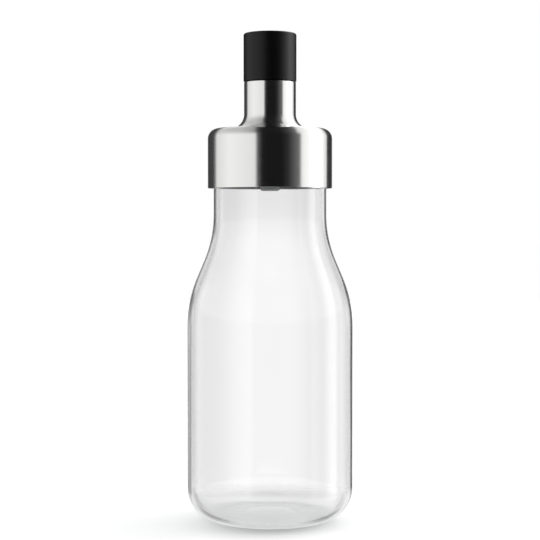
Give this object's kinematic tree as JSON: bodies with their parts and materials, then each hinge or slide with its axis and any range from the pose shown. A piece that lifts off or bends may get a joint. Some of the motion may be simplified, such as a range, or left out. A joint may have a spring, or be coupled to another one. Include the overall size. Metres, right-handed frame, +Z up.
{
  "type": "salad dressing shaker bottle",
  "caption": "Clear round bottle with an S-shaped shoulder, closed by a push-in metal lid with a sealed neck plug, a pouring tube and a screw cap.",
  "frame": {"origin": "centre of the base, on the surface the bottle stands on", "axes": "+Z up along the bottle's axis, through the lid and the cap; +X and +Y are any two level directions, as the bottle is round"},
  "size_m": [0.064, 0.064, 0.1877],
  "materials": {
    "glass": "clear, fire-polished",
    "steel": "drawn stainless steel, polished",
    "cap_black": "moulded black plastic, fine matte grain",
    "plug_black": "moulded black plastic",
    "spout_black": "moulded black plastic",
    "strainer_dark": "moulded dark plastic, glossy",
    "silicone": "moulded black silicone"
  },
  "bodies": {
    "bottle": {"glass_bottle": "glass"},
    "seal": {"neck_seal": "silicone"},
    "lid": {"lid_shell": "steel", "neck_plug": "plug_black", "spout_ring": "silicone", "pour_spout": "spout_black"},
    "strainer": {"strainer": "strainer_dark"},
    "liner": {"cap_liner": "silicone"},
    "cap": {"cap_shell": "cap_black", "cap_core": "spout_black"}
  },
  "joints": [
    {"name": "lid_lift", "type": "slide", "parent": "bottle", "child": "seal", "axis": [0, 0, 1], "range_m": [0, 0.025]},
    {"name": "lid_turn", "type": "hinge", "parent": "seal", "child": "lid", "pos_m": [0, 0, 0.1458], "axis": [0, 0, 1], "continuous": true},
    {"name": "strainer_pull", "type": "slide", "parent": "lid", "child": "strainer", "axis": [0, 0, -1], "range_m": [0, 0.014]},
    {"name": "cap_rise", "type": "slide", "parent": "lid", "child": "liner", "axis": [0, 0, 1], "range_m": [0, 0.0149]},
    {"name": "cap_turn", "type": "hinge", "parent": "liner", "child": "cap", "pos_m": [0, 0, 0.1764], "axis": [0, 0, 1], "range_deg": [0, 1530]}
  ],
  "couplings": [
    {"joint": "cap_rise", "follows": "cap_turn", "m_per_rad": 0.00055704}
  ]
}
